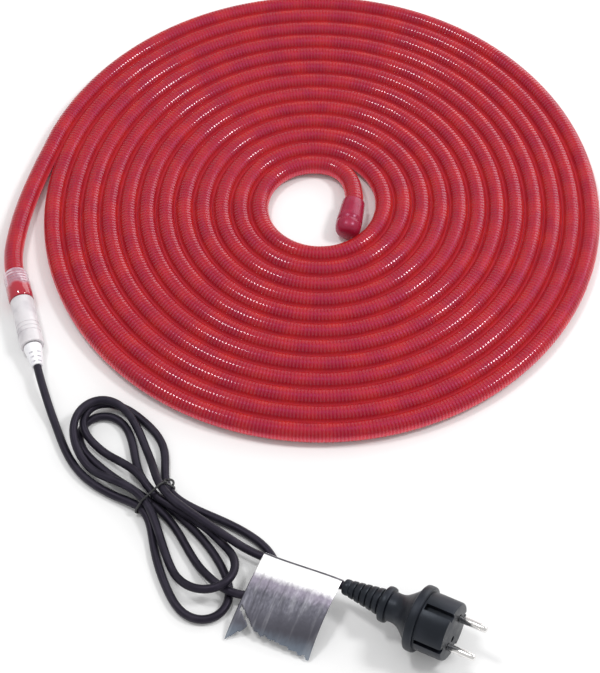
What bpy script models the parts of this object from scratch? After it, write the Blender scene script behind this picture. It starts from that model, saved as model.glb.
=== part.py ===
"""Red LED rope light: one flat coil of ribbed rope with its end cap, connector, mains lead and plug.

Units are metres, +Z is up, and the floor that everything lies on is z = 0. Places are measured
from the centre of the coil. The empty rope_light then moves the whole assembly so that the
rope, its cap and its connector stand centred over the origin.
"""
import math

import bmesh
import bpy
from mathutils import Matrix, Vector

# Clearance between two pieces that touch
GAP = 0.0003

# Rope and its coil
ROPE_DIAMETER = 0.013
TURN_SPACE = 0.0006
INNER_TURN_RADIUS = 0.0484
START_AZIMUTH = 168.0
RING_TURNS = 12
LEAVE_AZIMUTH = 48.0
RIDGE_SHARE = 0.415
VALLEY_SHARE = 0.315
RING_STEPS = 36

# End cap on the inner end of the rope
CAP_DIAMETER = 0.0188
CAP_LENGTH = 0.030
CAP_SOCKET = 0.018
CAP_ROUNDING = 0.0055
CAP_HEADING = -96.5
CAP_END_AZIMUTH = -46.4
CAP_END_TO_WALL = 0.0070
BEND_BULGE = 0.0021
BEND_RISE = 0.0008

# Connector at the outer end of the rope
SLEEVE_DIAMETER = 0.0176
SLEEVE_LENGTH = 0.025
ROPE_TO_TONGUE = 0.002
SLEEVE_SLACK = 0.0008
CONNECTOR_DIAMETER = 0.0166
CONNECTOR_LENGTH = 0.040
CONNECTOR_TONGUE = 0.009
CONNECTOR_HEADING = -72.0
RELIEF_LENGTH = 0.017
RELIEF_WIDE = 0.0125
RELIEF_NARROW = 0.0072
RELIEF_RINGS = 4

# Mains lead
LEAD_DIAMETER = 0.0056
HANK_HEIGHT = 0.0150
HANK_ROUNDING = 0.0020
TIE_DIAMETER = 0.0016

# Foil flag label on the lead
LABEL_THICKNESS = 0.0005
LABEL_LENGTH = 0.058
LABEL_EDGE_HEIGHT = 0.0008
LABEL_DROOP = 4
LABEL_WRAP_START = 130
LABEL_WRAP = 250
LABEL_STEPS = 8
LABEL_FROM_BOOT = 1

# Plug, measured along its axis from the tip of its boot
PLUG_HEADING = -26.0
PLUG_NOSE_UP = 6.0
BOOT_LENGTH = 0.027
BOOT_TIP = 0.0094
BOOT_END = 0.0166
COLLAR_DIAMETER = 0.0236
COLLAR_LENGTH = 0.0050
NECK_DIAMETER = 0.0192
NECK_LENGTH = 0.0060
CONE_LENGTH = 0.0120
FLANGE_DIAMETER = 0.0436
FLANGE_LENGTH = 0.0060
FRONT_DIAMETER = 0.0384
FRONT_LENGTH = 0.0195
RECESS_WIDTH = 0.0095
RECESS_DEPTH = 0.0032
PIN_DIAMETER = 0.0048
PIN_LENGTH = 0.019
PIN_SPACING = 0.019
PIN_SEAT = 0.010
PIN_ROLL = 20.0

rope_radius = ROPE_DIAMETER / 2
lead_radius = LEAD_DIAMETER / 2
turn_pitch = ROPE_DIAMETER + TURN_SPACE
ridge_flat = RIDGE_SHARE * ROPE_DIAMETER
valley_depth = VALLEY_SHARE * ROPE_DIAMETER

# Rope from the coil to the connector, by hand, measured from the outer end of the spiral
TAIL_ROUTE = [
    (-0.0049, -0.0182, rope_radius),
    (-0.0100, -0.0412, rope_radius),
    (-0.0135, -0.0638, rope_radius + 0.0003),
    (-0.0149, -0.0846, rope_radius + 0.0010),
    (-0.0145, -0.0976, rope_radius + 0.0016),
]
SLEEVE_PLACE = (-0.0114, -0.1148, SLEEVE_DIAMETER / 2)

# Everything on the lead is measured from the tip of the strain relief.
# Lead from the strain relief to the hank, by hand
LEAD_IN_ROUTE = [
    (0.0078, -0.0215, 0.0056),
    (0.0121, -0.0325, 0.0033),
    (0.0169, -0.0425, lead_radius),
    (0.0218, -0.0518, lead_radius),
    (0.0291, -0.0655, lead_radius),
]

# Outline of the hank seen from above, by hand: the lobe towards the connector, the tied
# waist, and the lobe towards the plug
HANK_OUTLINE = [
    (0.0781, -0.1050), (0.0611, -0.0940), (0.0431, -0.0820), (0.0321, -0.0690),
    (0.0271, -0.0520), (0.0301, -0.0370), (0.0391, -0.0260), (0.0491, -0.0210),
    (0.0611, -0.0250), (0.0731, -0.0350), (0.0861, -0.0410), (0.0951, -0.0530),
    (0.0991, -0.0690), (0.1001, -0.0910), (0.1121, -0.0980), (0.1281, -0.1090),
    (0.1421, -0.1210), (0.1491, -0.1370), (0.1491, -0.1540), (0.1431, -0.1730),
    (0.1341, -0.1850), (0.1241, -0.1870), (0.1131, -0.1820), (0.1011, -0.1690),
    (0.0921, -0.1520), (0.0871, -0.1330), (0.0831, -0.1170),
]
TIE_PLACE = (0.0886, -0.0990, 0.0)
TIE_HEADING = -50.0
TIE_HALF_WIDTH = 0.0150

# Loop of the lead that leaves the hank, runs under the label and comes back
LOOP_ROUTE = [
    (0.1401, -0.1670, lead_radius),
    (0.1511, -0.1680, lead_radius),
    (0.1631, -0.1660, lead_radius),
    (0.1711, -0.1560, lead_radius),
    (0.1711, -0.1440, lead_radius),
    (0.1656, -0.1320, lead_radius),
    (0.1571, -0.1220, lead_radius),
    (0.1471, -0.1140, lead_radius),
    (0.1341, -0.1090, lead_radius),
]

# Lead from the hank to the plug, by hand: over that loop, through the label, up to the boot
LEAD_OUT_ROUTE = [
    (0.1401, -0.1252, 0.0062),
    (0.1496, -0.1305, 0.0072),
    (0.1581, -0.1350, 0.0088),
    (0.1661, -0.1388, 0.0100),
    (0.1841, -0.1470, 0.0114),
    (0.2011, -0.1550, 0.0138),
]
PLUG_FLANGE_PLACE = (0.2644, -0.1873)
LABEL_FOOT_LEFT = (0.1461, -0.1955, LABEL_EDGE_HEIGHT)
LABEL_FOOT_RIGHT = (0.1941, -0.2120, LABEL_EDGE_HEIGHT)


def clear_scene():
    for old in list(bpy.data.objects):
        bpy.data.objects.remove(old, do_unlink=True)


def new_collection(name):
    group = bpy.data.collections.new(name)
    bpy.context.scene.collection.children.link(group)
    return group


def new_material(name, colour, roughness, metallic=0.0):
    made = bpy.data.materials.new(name)
    made.use_nodes = True
    shader = made.node_tree.nodes["Principled BSDF"]
    shader.inputs["Base Color"].default_value = (*colour, 1.0)
    shader.inputs["Roughness"].default_value = roughness
    shader.inputs["Metallic"].default_value = metallic
    return made


def put(name, data, material=None):
    """Make an object of the part, carried by the assembly's empty."""
    piece = bpy.data.objects.new(name, data)
    parts.objects.link(piece)
    piece.parent = assembly
    if material:
        data.materials.append(material)
    return piece


def polar(azimuth, radius, height):
    turn = math.radians(azimuth)
    return Vector((radius * math.cos(turn), radius * math.sin(turn), height))


def heading_vector(heading, rise=0.0):
    """Unit vector at a compass angle from +X, tilted up by rise degrees."""
    turn, lift = math.radians(heading), math.radians(rise)
    return Vector((math.cos(turn) * math.cos(lift), math.sin(turn) * math.cos(lift), math.sin(lift)))


def from_place(place, points):
    """Points measured from a place on the floor plan; their heights are from the floor."""
    return [Vector((place.x + x, place.y + y, z)) for x, y, z in points]


def smooth_route(points, spacing):
    """Evenly spaced points on a Catmull-Rom curve through the given points."""
    points = [Vector(p) for p in points]
    padded = [2 * points[0] - points[1], *points, 2 * points[-1] - points[-2]]
    fine = []
    for a, b, c, d in zip(padded, padded[1:], padded[2:], padded[3:]):
        for step in range(24):
            t = step / 24
            fine.append(0.5 * (2 * b + (c - a) * t + (2 * a - 5 * b + 4 * c - d) * t ** 2
                               + (3 * b - a - 3 * c + d) * t ** 3))
    fine.append(points[-1])
    lengths = [0.0]
    for a, b in zip(fine, fine[1:]):
        lengths.append(lengths[-1] + (b - a).length)
    count = max(2, round(lengths[-1] / spacing))
    even, at = [], 0
    for number in range(count + 1):
        target = lengths[-1] * number / count
        while at < len(fine) - 2 and lengths[at + 1] < target:
            at += 1
        span = lengths[at + 1] - lengths[at]
        even.append(fine[at].lerp(fine[at + 1], (target - lengths[at]) / span))
    return even


def tube_curve(name, points, radius, sides=4, cyclic=False):
    curve = bpy.data.curves.new(name, "CURVE")
    curve.dimensions = "3D"
    curve.bevel_depth = radius
    curve.bevel_resolution = sides
    curve.use_fill_caps = True
    spline = curve.splines.new("POLY")
    spline.points.add(len(points) - 1)
    for slot, point in zip(spline.points, points):
        slot.co = (*point, 1.0)
    spline.use_cyclic_u = cyclic
    return curve


def tube_cutter(name, points, radius, cyclic=False):
    """Closed mesh of a tube, used to clear a channel for the tube that lies in it."""
    guide = bpy.data.objects.new(name + "_guide", tube_curve(name + "_guide", points, radius, cyclic=cyclic))
    cutters.objects.link(guide)
    bpy.context.view_layer.update()
    made = bpy.data.meshes.new_from_object(guide.evaluated_get(bpy.context.evaluated_depsgraph_get()))
    bpy.data.objects.remove(guide, do_unlink=True)
    shell = bmesh.new()
    shell.from_mesh(made)
    bmesh.ops.remove_doubles(shell, verts=shell.verts, dist=0.00001)
    bmesh.ops.recalc_face_normals(shell, faces=shell.faces)
    shell.to_mesh(made)
    shell.free()
    return hide_cutter(name, made)


def hide_cutter(name, mesh):
    cutter = bpy.data.objects.new(name, mesh)
    cutters.objects.link(cutter)
    cutter.parent = assembly
    cutter.hide_render = True
    cutter.display_type = "WIRE"
    return cutter


def cut(piece, cutter):
    bite = piece.modifiers.new(cutter.name, "BOOLEAN")
    bite.operation = "DIFFERENCE"
    bite.object = cutter


def turned(name, profile, steps, material, closed=False, smooth=True):
    """Solid of revolution about local Z; the profile runs down its outer side."""
    made = bpy.data.meshes.new(name)
    edges = [(i, i + 1) for i in range(len(profile) - 1)]
    if closed:
        edges.append((len(profile) - 1, 0))
    made.from_pydata([(r, 0.0, z) for r, z in profile], edges, [])
    piece = put(name, made, material)
    screw = piece.modifiers.new("turn", "SCREW")
    screw.steps = steps
    screw.render_steps = steps
    screw.use_merge_vertices = True
    screw.merge_threshold = 0.00001
    screw.use_smooth_shade = smooth
    return piece


def aim(piece, start, direction, roll=0.0):
    """Put local Z along direction from start, with local X level before the roll."""
    side = Vector((0, 0, 1)).cross(direction).normalized()
    up = direction.cross(side)
    turn = Matrix((side, up, direction)).transposed() @ Matrix.Rotation(math.radians(roll), 3, "Z")
    piece.location = start
    piece.rotation_euler = turn.to_euler()


def spiral_radius(turns):
    return start_radius - turn_pitch * turns


def spiral_points(first_turn, last_turn, per_turn):
    """Centre line of the rope between two turn counts, wound clockwise and inwards."""
    count = max(2, round(abs(last_turn - first_turn) * per_turn))
    line = []
    for number in range(count + 1):
        turns = first_turn + (last_turn - first_turn) * number / count
        line.append(polar(START_AZIMUTH - 360 * turns, spiral_radius(turns), rope_radius))
    return line


# The ring stands for the turns between half a turn in and half a turn before the end,
# where the spiral's radius is that of the ring's first and last ridge
FIRST_RING_TURN = 0.5
last_ring_turn = FIRST_RING_TURN + RING_TURNS - 1
leave_turn = RING_TURNS + (START_AZIMUTH - LEAVE_AZIMUTH) / 360
start_radius = INNER_TURN_RADIUS + turn_pitch * last_ring_turn
bore_radius = INNER_TURN_RADIUS - rope_radius
ring_outer_radius = spiral_radius(FIRST_RING_TURN) + rope_radius
spiral_start = polar(START_AZIMUTH, start_radius, rope_radius)
tail_route = from_place(spiral_start, TAIL_ROUTE)
reach_right = spiral_radius(START_AZIMUTH / 360) + rope_radius
reach_left = min(point.x for point in tail_route) - rope_radius
reach_back = spiral_radius((START_AZIMUTH - 90) / 360) + rope_radius
reach_front = -ring_outer_radius

clear_scene()
parts = new_collection("led_rope_light")
cutters = new_collection("cutters")
assembly = bpy.data.objects.new("rope_light", None)
parts.objects.link(assembly)
assembly.location = (-(reach_right + reach_left) / 2, -(reach_back + reach_front) / 2, 0)

red_pvc = new_material("red_pvc", (0.52, 0.02, 0.04), 0.35)
clear_pvc = new_material("clear_pvc", (0.80, 0.30, 0.30), 0.25)
milky_pvc = new_material("milky_pvc", (0.80, 0.78, 0.78), 0.35)
white_pvc = new_material("white_pvc", (0.85, 0.85, 0.87), 0.45)
black_pvc = new_material("black_pvc", (0.02, 0.02, 0.025), 0.50)
black_rubber = new_material("black_rubber", (0.03, 0.03, 0.035), 0.60)
foil = new_material("silver_foil", (0.60, 0.60, 0.62), 0.35, 0.9)
nickel = new_material("nickel", (0.75, 0.74, 0.72), 0.20, 1.0)


# Rope
def ring_profile():
    """Section of the coil: one flat-topped ridge for each turn, above and below."""
    middle = rope_radius
    top = []
    for turn in range(RING_TURNS):
        centre = spiral_radius(last_ring_turn - turn)
        if turn:
            top.append((centre - turn_pitch / 2, middle + rope_radius - valley_depth))
        top.append((centre - ridge_flat / 2, 2 * rope_radius))
        top.append((centre + ridge_flat / 2, 2 * rope_radius))
    bottom = [(r, 2 * middle - z) for r, z in reversed(top)]
    side = ridge_flat / 2
    outer = [(ring_outer_radius, middle + side), (ring_outer_radius, middle - side)]
    inner = [(bore_radius, middle - side), (bore_radius, middle + side)]
    return top + outer + bottom + inner


rope_coil = turned("rope_coil", ring_profile(), RING_STEPS, red_pvc, closed=True)
rope_coil.rotation_euler.z = math.radians(START_AZIMUTH)

sleeve_way = heading_vector(CONNECTOR_HEADING)
tail_arc = spiral_points(FIRST_RING_TURN, 0.0, RING_STEPS)
sleeve_start = from_place(spiral_start, [SLEEVE_PLACE])[0]
tail_end = sleeve_start + sleeve_way * (SLEEVE_LENGTH - CONNECTOR_TONGUE - ROPE_TO_TONGUE)
tail_mouth = sleeve_start - sleeve_way * 0.004
tail_by_hand = smooth_route([spiral_start, *tail_route, tail_mouth, sleeve_start, tail_end], 0.010)
tail_line = tail_arc + tail_by_hand[1:]
put("rope_tail", tube_curve("rope_tail", tail_line, rope_radius), red_pvc)

cap_way = heading_vector(CAP_HEADING)
inner_arc = spiral_points(last_ring_turn, leave_turn, RING_STEPS)
cap_height = CAP_DIAMETER / 2
cap_start = polar(CAP_END_AZIMUTH, bore_radius - CAP_END_TO_WALL, cap_height) - cap_way * CAP_LENGTH
inner_end = cap_start + cap_way * (CAP_SOCKET - GAP)
bend = (inner_arc[-1] + cap_start) / 2
bend += Vector((bend.x, bend.y, 0)).normalized() * BEND_BULGE
bend.z = rope_radius + BEND_RISE
inner_by_hand = smooth_route([inner_arc[-1], bend, cap_start, inner_end], 0.010)
inner_line = inner_arc + inner_by_hand[1:]
put("rope_inner_end", tube_curve("rope_inner_end", inner_line, rope_radius), red_pvc)

# The flats of a channel's twelve sides clear a ridge's corners, so no sliver of it is left
channel_radius = (math.hypot(ridge_flat / 2, rope_radius) + GAP) / math.cos(math.pi / 12)
for name, line in (("tail_channel", tail_line), ("inner_channel", inner_line)):
    back = line[0] + (line[0] - line[1]).normalized() * GAP
    cut(rope_coil, tube_cutter(name, [back, *line[1:]], channel_radius))


# End cap
def cap_profile():
    outer, bore = CAP_DIAMETER / 2, rope_radius + GAP
    rounded = []
    for step in range(5):
        turn = math.radians(90 * step / 4)
        rounded.append((outer - CAP_ROUNDING * (1 - math.sin(turn)),
                        CAP_LENGTH - CAP_ROUNDING * (1 - math.cos(turn))))
    return [(0.0, CAP_LENGTH), *rounded, (outer, 0.0), (bore, 0.0), (bore, CAP_SOCKET), (0.0, CAP_SOCKET)]


end_cap = turned("end_cap", cap_profile(), 20, red_pvc)
aim(end_cap, cap_start, cap_way)


# Connector: clear sleeve, milky body with its tongue in the sleeve, slotted strain relief
def sleeve_profile():
    outer, bore = SLEEVE_DIAMETER / 2, rope_radius + SLEEVE_SLACK
    chamfer = 0.0006
    return [(outer - chamfer, SLEEVE_LENGTH), (outer, SLEEVE_LENGTH - chamfer), (outer, chamfer),
            (outer - chamfer, 0.0), (bore, 0.0), (bore, SLEEVE_LENGTH)]


def connector_profile():
    outer, tongue = CONNECTOR_DIAMETER / 2, rope_radius
    step = 0.0004
    length = CONNECTOR_LENGTH
    return [(0.0, length), (outer - 0.0012, length), (outer - step, length - 0.0008),
            (outer - step, length - 0.006), (outer, length - 0.006), (outer, length - 0.009),
            (outer - step, length - 0.009), (outer - step, length - 0.012), (outer, length - 0.012),
            (outer, 0.0), (tongue, 0.0), (tongue, -CONNECTOR_TONGUE), (0.0, -CONNECTOR_TONGUE)]


def relief_profile():
    """Taper with sunk rings, from the narrow tip down to the wide foot."""
    line = [(0.0, RELIEF_LENGTH), (RELIEF_NARROW / 2, RELIEF_LENGTH)]
    pitch = RELIEF_LENGTH / (RELIEF_RINGS + 1)
    groove = 0.0005
    for ring in range(RELIEF_RINGS, 0, -1):
        at = pitch * ring
        radius = RELIEF_WIDE / 2 + (RELIEF_NARROW - RELIEF_WIDE) / 2 * at / RELIEF_LENGTH
        line += [(radius, at + pitch / 4), (radius - groove, at + pitch / 6),
                 (radius - groove, at - pitch / 6), (radius, at - pitch / 4)]
    return line + [(RELIEF_WIDE / 2, 0.0), (0.0, 0.0)]


sleeve = turned("coupling_sleeve", sleeve_profile(), 20, clear_pvc, closed=True)
aim(sleeve, sleeve_start, sleeve_way)
connector_start = sleeve_start + sleeve_way * (SLEEVE_LENGTH + GAP)
connector = turned("connector_body", connector_profile(), 20, milky_pvc)
aim(connector, connector_start, sleeve_way)
relief_start = connector_start + sleeve_way * (CONNECTOR_LENGTH + GAP)
relief = turned("strain_relief", relief_profile(), 20, white_pvc)
aim(relief, relief_start, sleeve_way)
relief_tip = relief_start + sleeve_way * (RELIEF_LENGTH + GAP)


# Hank: an extruded outline with rounded edges, and a groove for the tie round its waist
def hank_solid():
    outline = bpy.data.curves.new("lead_hank", "CURVE")
    outline.dimensions = "2D"
    outline.fill_mode = "BOTH"
    outline.extrude = HANK_HEIGHT / 2
    spline = outline.splines.new("POLY")
    even = smooth_route([(x, y, 0.0) for x, y in [*HANK_OUTLINE, HANK_OUTLINE[0]]], 0.010)[:-1]
    spline.points.add(len(even) - 1)
    for slot, point in zip(spline.points, even):
        slot.co = (point.x, point.y, 0.0, 1.0)
    spline.use_cyclic_u = True
    guide = bpy.data.objects.new("hank_guide", outline)
    cutters.objects.link(guide)
    bpy.context.view_layer.update()
    made = bpy.data.meshes.new_from_object(guide.evaluated_get(bpy.context.evaluated_depsgraph_get()))
    bpy.data.objects.remove(guide, do_unlink=True)
    shell = bmesh.new()
    shell.from_mesh(made)
    bmesh.ops.remove_doubles(shell, verts=shell.verts, dist=0.00001)
    bmesh.ops.dissolve_limit(shell, angle_limit=0.001, verts=shell.verts, edges=shell.edges)
    bmesh.ops.recalc_face_normals(shell, faces=shell.faces)
    shell.to_mesh(made)
    shell.free()
    made.name = "lead_hank"
    piece = put("lead_hank", made, black_pvc)
    piece.location = (relief_tip.x, relief_tip.y, HANK_HEIGHT / 2)
    rounding = piece.modifiers.new("rounding", "BEVEL")
    rounding.width = HANK_ROUNDING
    rounding.segments = 2
    rounding.limit_method = "ANGLE"
    rounding.angle_limit = math.radians(60)
    return piece


def tie_line():
    """Closed loop round the waist of the hank, square with its length."""
    across = heading_vector(TIE_HEADING + 90)
    radius = TIE_DIAMETER / 2
    half, top = TIE_HALF_WIDTH, HANK_HEIGHT
    corner = 0.003
    centre = from_place(relief_tip, [TIE_PLACE])[0]
    loop = []
    for sx, z_mid in ((1, top - corner), (-1, top - corner), (-1, corner + radius), (1, corner + radius)):
        up = 1 if z_mid > top / 2 else -1
        for step in range(4):
            turn = math.radians(30 * step)
            if sx * up < 0:
                turn = math.radians(90) - turn
            reach = half - corner + corner * math.cos(turn)
            loop.append(centre + across * sx * reach + Vector((0, 0, z_mid + up * corner * math.sin(turn))))
    return loop


lead_hank = hank_solid()
put("twist_tie", tube_curve("twist_tie", tie_line(), TIE_DIAMETER / 2, 2, True), black_pvc)
cut(lead_hank, tube_cutter("tie_groove", tie_line(), TIE_DIAMETER / 2 + GAP, True))

# Lead tubes
lead_in_route = from_place(relief_tip, LEAD_IN_ROUTE)
lead_in = smooth_route([relief_tip, relief_tip + sleeve_way * 0.011, *lead_in_route], 0.011)
put("lead_from_connector", tube_curve("lead_from_connector", lead_in, lead_radius, 3), black_pvc)
loop_line = smooth_route(from_place(relief_tip, LOOP_ROUTE), 0.009)
put("lead_loop", tube_curve("lead_loop", loop_line, lead_radius, 3), black_pvc)

plug_way = heading_vector(PLUG_HEADING, PLUG_NOSE_UP)
flange_middle = BOOT_LENGTH + COLLAR_LENGTH + NECK_LENGTH + CONE_LENGTH + FLANGE_LENGTH / 2
nose_up = math.radians(PLUG_NOSE_UP)
flange_height = FLANGE_DIAMETER / 2 * math.cos(nose_up) + FLANGE_LENGTH / 2 * math.sin(nose_up)
plug_start = from_place(relief_tip, [(*PLUG_FLANGE_PLACE, flange_height)])[0] - plug_way * flange_middle
lead_end = plug_start - plug_way * GAP
lead_out_route = from_place(relief_tip, LEAD_OUT_ROUTE)
lead_out = smooth_route([*lead_out_route, lead_end - plug_way * 0.008, lead_end], LABEL_LENGTH / LABEL_STEPS)
put("lead_to_plug", tube_curve("lead_to_plug", lead_out, lead_radius, 3), black_pvc)

# Each stretch of lead that enters the hank has a pocket there
for name, line in (("lead_in", list(reversed(lead_in))), ("loop", loop_line),
                   ("loop_return", list(reversed(loop_line))), ("lead_out", lead_out)):
    start = line[0] + (line[0] - line[1]).normalized() * GAP
    cut(lead_hank, tube_cutter(name + "_pocket", [start, *line[1:5]], lead_radius + GAP))


# Label: a sheet laid round the lead and hanging from it to the floor
def label_point(middle, way, foot, v):
    """Point of the sheet for v from 0 to 1: half of it goes round the lead, half is the flag."""
    down = Vector((way.y, -way.x, 0)).normalized()
    up = down.cross(way)
    wrap = lead_radius + GAP + LABEL_THICKNESS / 2
    turn = math.radians(LABEL_WRAP_START + LABEL_WRAP * min(1, 2 * v))
    around = middle + (down * math.sin(turn) + up * math.cos(turn)) * wrap
    if v <= 0.5:
        return around
    share = 2 * v - 1
    hung = around.lerp(foot, share)
    hung.z = foot.z + (around.z - foot.z) * (1 - share ** LABEL_DROOP)
    return hung


def label_sheet():
    last = len(lead_out) - 1 - LABEL_FROM_BOOT
    run = lead_out[last - LABEL_STEPS:last + 1]
    foot_left, foot_right = from_place(relief_tip, [LABEL_FOOT_LEFT, LABEL_FOOT_RIGHT])
    made = bpy.data.meshes.new("foil_label")
    sheet = bmesh.new()
    bmesh.ops.create_grid(sheet, x_segments=LABEL_STEPS, y_segments=20, size=0.5)
    for corner in sheet.verts:
        u, v = corner.co.x + 0.5, corner.co.y + 0.5
        number = round(u * LABEL_STEPS)
        ahead, behind = run[min(number + 1, LABEL_STEPS)], run[max(number - 1, 0)]
        foot = foot_left.lerp(foot_right, u)
        corner.co = label_point(run[number], (ahead - behind).normalized(), foot, v)
    sheet.to_mesh(made)
    sheet.free()
    piece = put("foil_label", made, foil)
    solid = piece.modifiers.new("thickness", "SOLIDIFY")
    solid.thickness = LABEL_THICKNESS
    solid.offset = 0.0
    return piece


label_sheet()


# Plug
def plug_profile():
    """Outline of the plug from its face back to the tip of its boot."""
    front, flange, cone = FRONT_DIAMETER / 2, FLANGE_DIAMETER / 2, FRONT_DIAMETER / 2 - 0.001
    s_boot = BOOT_LENGTH
    s_collar = s_boot + COLLAR_LENGTH
    s_neck = s_collar + NECK_LENGTH
    s_cone = s_neck + CONE_LENGTH
    s_flange = s_cone + FLANGE_LENGTH
    s_face = s_flange + FRONT_LENGTH
    collar, neck, boot = COLLAR_DIAMETER / 2, NECK_DIAMETER / 2, BOOT_END / 2
    edge = 0.0012
    line = [(0.0, s_face), (front - edge, s_face), (front, s_face - edge), (front, s_flange),
            (flange - edge, s_flange), (flange, s_flange - edge), (flange, s_cone + edge),
            (flange - edge, s_cone), (cone, s_cone),
            (neck + (cone - neck) * 0.45, s_neck + CONE_LENGTH * 0.62),
            (neck + (cone - neck) * 0.12, s_neck + CONE_LENGTH * 0.28), (neck, s_neck),
            (neck, s_collar), (collar - edge, s_collar), (collar, s_collar - edge),
            (collar, s_boot + edge), (collar - edge, s_boot), (boot, s_boot), (BOOT_TIP / 2, 0.0), (0.0, 0.0)]
    return line


plug_body = turned("plug_body", plug_profile(), 28, black_rubber)
aim(plug_body, plug_start, plug_way, PIN_ROLL)
plug_face = flange_middle + FLANGE_LENGTH / 2 + FRONT_LENGTH

for side in (1, -1):
    box = bpy.data.meshes.new("recess")
    block = bmesh.new()
    bmesh.ops.create_cube(block, size=1.0)
    depth = 2 * RECESS_DEPTH
    bmesh.ops.scale(block, verts=block.verts, vec=(RECESS_WIDTH, depth, 2 * (FRONT_LENGTH - 0.002)))
    bmesh.ops.translate(block, verts=block.verts, vec=(0, side * FRONT_DIAMETER / 2, plug_face))
    block.to_mesh(box)
    block.free()
    recess = hide_cutter(f"recess_{'upper' if side > 0 else 'lower'}", box)
    aim(recess, plug_start, plug_way, PIN_ROLL)
    cut(plug_body, recess)


def round_bar(name, radius, length, steps=16):
    bar = bpy.data.meshes.new(name)
    shape = bmesh.new()
    bmesh.ops.create_cone(shape, cap_ends=True, segments=steps, radius1=radius, radius2=radius, depth=length)
    shape.to_mesh(bar)
    shape.free()
    return bar


def pin_profile():
    radius, tip = PIN_DIAMETER / 2, 0.0012
    return [(0.0, PIN_LENGTH), (radius - tip, PIN_LENGTH), (radius, PIN_LENGTH - tip),
            (radius, GAP - PIN_SEAT), (0.0, GAP - PIN_SEAT)]


for number, side in ((1, -1), (2, 1)):
    across = plug_body.rotation_euler.to_matrix() @ Vector((side * PIN_SPACING / 2, 0, 0))
    foot = plug_start + plug_way * plug_face + across
    pin = turned(f"plug_pin_{number}", pin_profile(), 16, nickel)
    aim(pin, foot, plug_way, PIN_ROLL)
    socket = hide_cutter(f"pin_socket_{number}", round_bar("pin_socket", PIN_DIAMETER / 2 + GAP, 2 * PIN_SEAT))
    aim(socket, foot, plug_way, PIN_ROLL)
    cut(plug_body, socket)
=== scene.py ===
# %% [markdown]
# # A coil of red LED rope light
#
# The object is 9.5 m of soft red rope with small lamps cast in it, laid on the floor in one flat
# coil. Its inner end wears a moulded cap. Its outer end goes into a connector, and from there a
# thin black mains lead runs through a tied hank and a foil label to a round plug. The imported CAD
# model is loaded first, as a frame that gives every place, and the visible pieces are then built
# over it.

import math

import bpy
import numpy as np
from mathutils import Matrix, Vector


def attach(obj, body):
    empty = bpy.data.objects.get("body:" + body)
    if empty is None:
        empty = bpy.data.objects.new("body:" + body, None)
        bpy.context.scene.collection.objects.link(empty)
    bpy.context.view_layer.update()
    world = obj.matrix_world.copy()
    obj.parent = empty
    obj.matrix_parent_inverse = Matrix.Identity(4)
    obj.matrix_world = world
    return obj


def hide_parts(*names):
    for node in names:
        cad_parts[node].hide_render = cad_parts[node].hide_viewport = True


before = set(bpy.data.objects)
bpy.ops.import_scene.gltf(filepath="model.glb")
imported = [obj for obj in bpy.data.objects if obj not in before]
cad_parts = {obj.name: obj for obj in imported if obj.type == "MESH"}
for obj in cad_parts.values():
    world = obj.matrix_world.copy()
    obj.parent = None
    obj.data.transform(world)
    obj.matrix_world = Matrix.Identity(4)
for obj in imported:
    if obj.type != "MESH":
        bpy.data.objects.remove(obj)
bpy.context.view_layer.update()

# %% [markdown]
# Places are easiest to think of from the centre of the coil, while the model's origin lies in
# the middle of the box round its rope. One small shift joins the two. It is applied once, by the
# helper below, and every later place goes through it.

# %% Measure from the centre of the coil
COIL_CENTRE = Vector((0.00839, -0.00193, 0.0))


def at(x, y, z=0.0):
    """Place in the model, in metres, for one measured from the centre of the coil."""
    return COIL_CENTRE + Vector((x, y, z))


def heading(angle, rise=0.0):
    """Unit vector at an angle from +X in the floor plan, tilted up by rise degrees."""
    turn, lift = math.radians(angle), math.radians(rise)
    return Vector((math.cos(turn) * math.cos(lift), math.sin(turn) * math.cos(lift), math.sin(lift)))


print("Coil centre:", tuple(COIL_CENTRE))

# %% [markdown]
# ## Camera and light
#
# The camera comes first, because everything is judged through it. It stands 1.1 m above the
# floor and looks down by 55 degrees with a long lens. That is where a camera has to stand for
# the coil's outer edge and its bore to fall where they do in the picture.

# %% Camera
CAMERA_PLACE = (0.03351, -0.89813, 1.12380)
LOOK_DOWN = math.radians(54.99)
LOOK_ASIDE = -0.0521
CAMERA_ROLL = -0.0081
LENS = 117.84

look = Vector((math.sin(LOOK_ASIDE) * math.cos(LOOK_DOWN),
               math.cos(LOOK_ASIDE) * math.cos(LOOK_DOWN), -math.sin(LOOK_DOWN)))
right = look.cross(Vector((0, 0, 1))).normalized()
up = right.cross(look)
camera_data = bpy.data.cameras.new("camera")
camera_data.sensor_fit = "HORIZONTAL"
camera_data.sensor_width = 36.0
camera_data.lens = LENS
camera = bpy.data.objects.new("camera", camera_data)
bpy.context.scene.collection.objects.link(camera)
axes = Matrix((right, up, -look)).transposed() @ Matrix.Rotation(CAMERA_ROLL, 3, "Z")
camera.rotation_euler = axes.to_euler()
camera.location = at(*CAMERA_PLACE)
bpy.context.scene.camera = camera
print("Camera at", [round(v, 3) for v in camera.location], "lens", LENS)

# %% [markdown]
# The floor is a large pale sheet. A white world gives even light from all round, as a light tent
# does. A broad lamp behind on the right lays a soft sheen on that side of every turn, and two
# small ones draw the bright dotted lines where the ribs catch them.

# %% Floor and lamps
def floor_sheet(size, colour):
    """Plain floor, which is not part of the object."""
    bpy.ops.object.select_all(action="DESELECT")
    bpy.ops.mesh.primitive_plane_add(size=size, location=(0, 0, -0.0002))
    sheet = bpy.context.object
    sheet.name = "floor"
    paint = bpy.data.materials.new("floor_white")
    paint.use_nodes = True
    shader = paint.node_tree.nodes["Principled BSDF"]
    shader.inputs["Base Color"].default_value = (*colour, 1.0)
    shader.inputs["Roughness"].default_value = 0.9
    sheet.data.materials.append(paint)


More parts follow.
